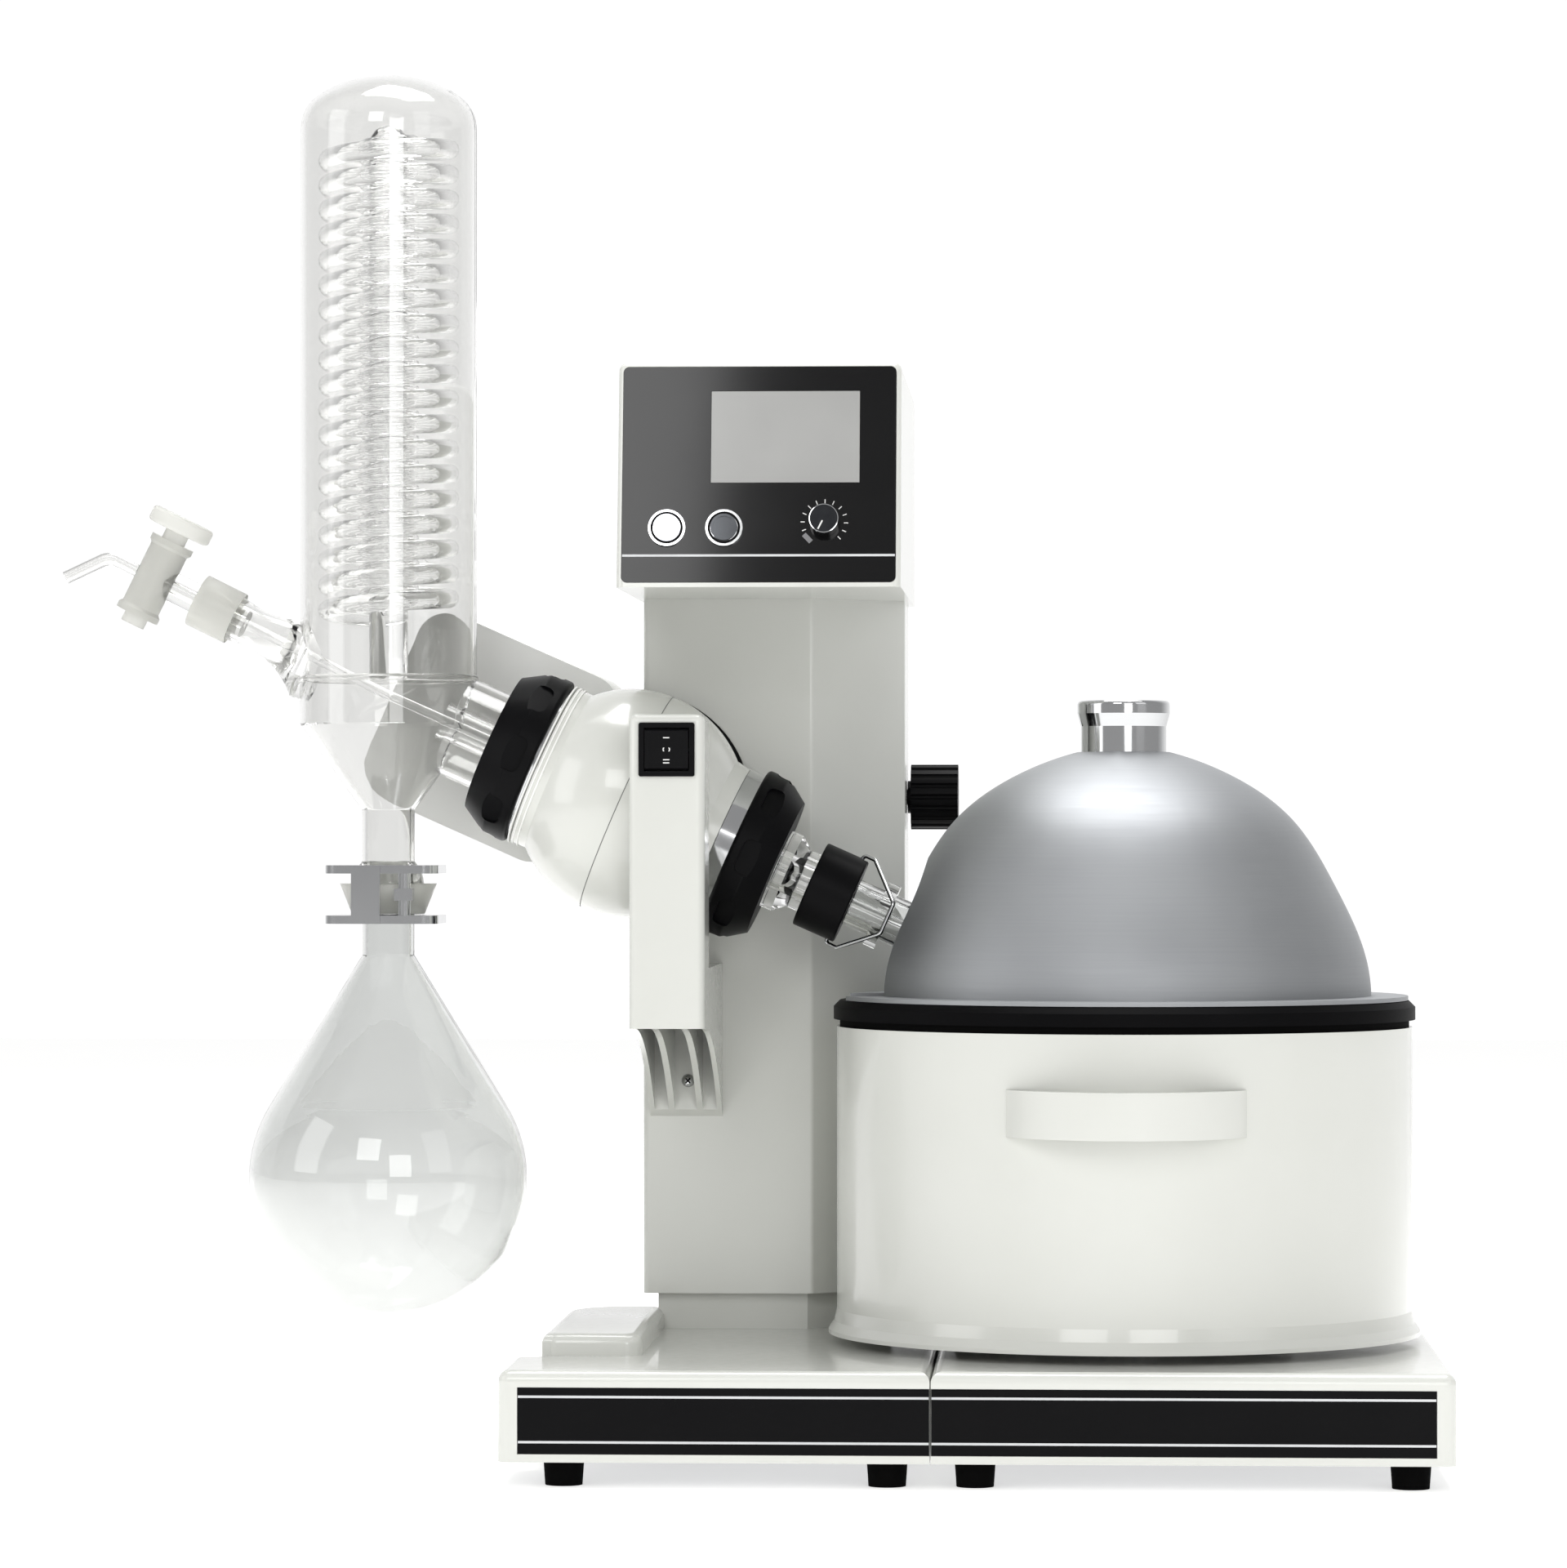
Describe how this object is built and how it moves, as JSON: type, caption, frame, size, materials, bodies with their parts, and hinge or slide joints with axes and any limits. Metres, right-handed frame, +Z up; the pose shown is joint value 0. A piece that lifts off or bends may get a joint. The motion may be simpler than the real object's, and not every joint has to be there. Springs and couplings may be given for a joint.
{
  "type": "rotary evaporator",
  "caption": "Bench rotary evaporator: column with motor lift, tilting drive head, glass condenser with coil, receiving flask, evaporating flask and a domed heating bath.",
  "frame": {"origin": "centre of the bounding box's bottom face, on the bench", "axes": "+X to the viewer's right towards the bath, +Y away from the viewer, +Z up"},
  "size_m": [0.6697, 0.36, 0.671],
  "materials": {
    "white_paint": "warm white gloss paint",
    "black_plastic": "fine-grained black plastic",
    "gloss_black": "gloss black",
    "screen": "grey display window",
    "steel": "plain steel",
    "chrome": "polished chrome",
    "aluminium": "satin aluminium",
    "brass": "machined brass",
    "rubber": "black rubber",
    "seal": "white seal polymer",
    "enamel": "dark bath coating",
    "board": "green circuit board",
    "glass": "clear borosilicate glass"
  },
  "bodies": {
    "base": {"base_housing": "white_paint", "base_front_panel": "black_plastic", "bottom_plates": "steel", "feet": "rubber", "mains_inlet": "black_plastic", "inner_column": "white_paint", "lift_motor": "steel", "bath_base_housing": "white_paint", "bath_front_panel": "black_plastic", "bath_shell": "white_paint", "bath_handle": "white_paint", "bath_gasket": "rubber", "bath_pot": "enamel", "heating_element": "steel", "temperature_probe": "steel"},
    "lift_screw": {"lift_screw": "steel"},
    "carriage": {"column_sleeve": "white_paint", "lift_nut": "brass", "control_box": "white_paint", "control_panel": "gloss_black", "display_screen": "screen", "button_bezels": "chrome", "control_board": "board", "switch_arm": "white_paint", "arm_bracket": "white_paint", "rocker_bezel": "black_plastic", "tilt_pivot": "steel"},
    "clamp_knob": {"clamp_knob": "black_plastic"},
    "power_button": {"power_button": "chrome"},
    "heat_button": {"heat_button": "chrome"},
    "speed_knob": {"speed_knob": "gloss_black"},
    "rocker": {"rocker": "black_plastic"},
    "head": {"head_shell_left": "white_paint", "head_shell_right": "white_paint", "friction_disc": "black_plastic", "motor_housing": "white_paint", "drive_motor": "steel", "drive_belt": "rubber", "head_bearings": "steel", "thread_ring": "steel", "condenser_nut": "black_plastic", "shaft_seal": "seal", "condenser_glass": "glass", "cooling_coil": "glass", "stopcock_barrel": "glass", "feed_tube": "glass", "joint_clamp": "steel", "receiver_flask": "glass"},
    "motor_pulley": {"motor_pulley": "aluminium"},
    "spindle": {"spindle": "steel", "spindle_pulley": "aluminium", "spindle_nut": "black_plastic", "vapour_tube": "glass", "flask_clamp": "black_plastic", "evaporating_flask": "glass"},
    "bail": {"flask_bail": "steel"},
    "stopcock_plug": {"stopcock_plug": "glass"},
    "clamp_screw": {"clamp_screw": "steel"},
    "lid": {"bath_lid": "aluminium", "lid_knob": "steel"}
  },
  "joints": [
    {"name": "lift", "type": "slide", "parent": "base", "child": "carriage", "axis": [0, 0, 1], "range_m": [0, 0.15]},
    {"name": "lift_screw_spin", "type": "hinge", "parent": "base", "child": "lift_screw", "pos_m": [0.008, 0.115, 0.2], "axis": [0, 0, 1], "range_deg": [-10, 10810]},
    {"name": "head_tilt", "type": "hinge", "parent": "carriage", "child": "head", "pos_m": [-0.025, 0.05, 0.316], "axis": [0, 1, 0], "range_deg": [-3, 6]},
    {"name": "clamp_knob_turn", "type": "hinge", "parent": "carriage", "child": "clamp_knob", "pos_m": [0.076, 0.14, 0.319], "axis": [1, 0, 0], "range_deg": [0, 360]},
    {"name": "power_press", "type": "slide", "parent": "carriage", "child": "power_button", "axis": [0, 0.9848, -0.1736], "range_m": [0, 0.0015], "stiffness_N_per_m": 800, "springref_m": -0.0005},
    {"name": "heat_press", "type": "slide", "parent": "carriage", "child": "heat_button", "axis": [0, 0.9848, -0.1736], "range_m": [0, 0.0015], "stiffness_N_per_m": 800, "springref_m": -0.0005},
    {"name": "speed_turn", "type": "hinge", "parent": "carriage", "child": "speed_knob", "pos_m": [0.0427, -0.08258, 0.44776], "axis": [0, -0.9848, 0.1736], "range_deg": [0, 300]},
    {"name": "rocker_tilt", "type": "hinge", "parent": "carriage", "child": "rocker", "pos_m": [-0.0315, -0.092, 0.34], "axis": [1, 0, 0], "range_deg": [-8, 8], "stiffness_Nm_per_rad": 0.05},
    {"name": "spindle_spin", "type": "hinge", "parent": "head", "child": "spindle", "pos_m": [-0.055, 0, 0.315], "axis": [0.9135, 0, -0.4067], "continuous": true},
    {"name": "motor_pulley_spin", "type": "hinge", "parent": "head", "child": "motor_pulley", "pos_m": [-0.055, 0.097, 0.315], "axis": [0.9135, 0, -0.4067], "continuous": true},
    {"name": "bail_swing", "type": "hinge", "parent": "spindle", "child": "bail", "pos_m": [0.0493, 0, 0.26855], "axis": [-0.4067, 0, -0.9135], "range_deg": [0, 65]},
    {"name": "plug_turn", "type": "hinge", "parent": "head", "child": "stopcock_plug", "pos_m": [-0.289, 0, 0.4253], "axis": [0.4462, 0, 0.8949], "continuous": true},
    {"name": "clamp_screw_turn", "type": "hinge", "parent": "head", "child": "clamp_screw", "pos_m": [-0.163, -0.03, 0.27], "axis": [0, 0, 1], "continuous": true},
    {"name": "lid_lift", "type": "slide", "parent": "carriage", "child": "lid", "axis": [0, 0, 1], "range_m": [0, 0.13]}
  ],
  "couplings": [
    {"joint": "lift_screw_spin", "follows": "lift", "rad_per_m": 1256.6},
    {"joint": "motor_pulley_spin", "follows": "spindle_spin", "ratio": 2}
  ]
}
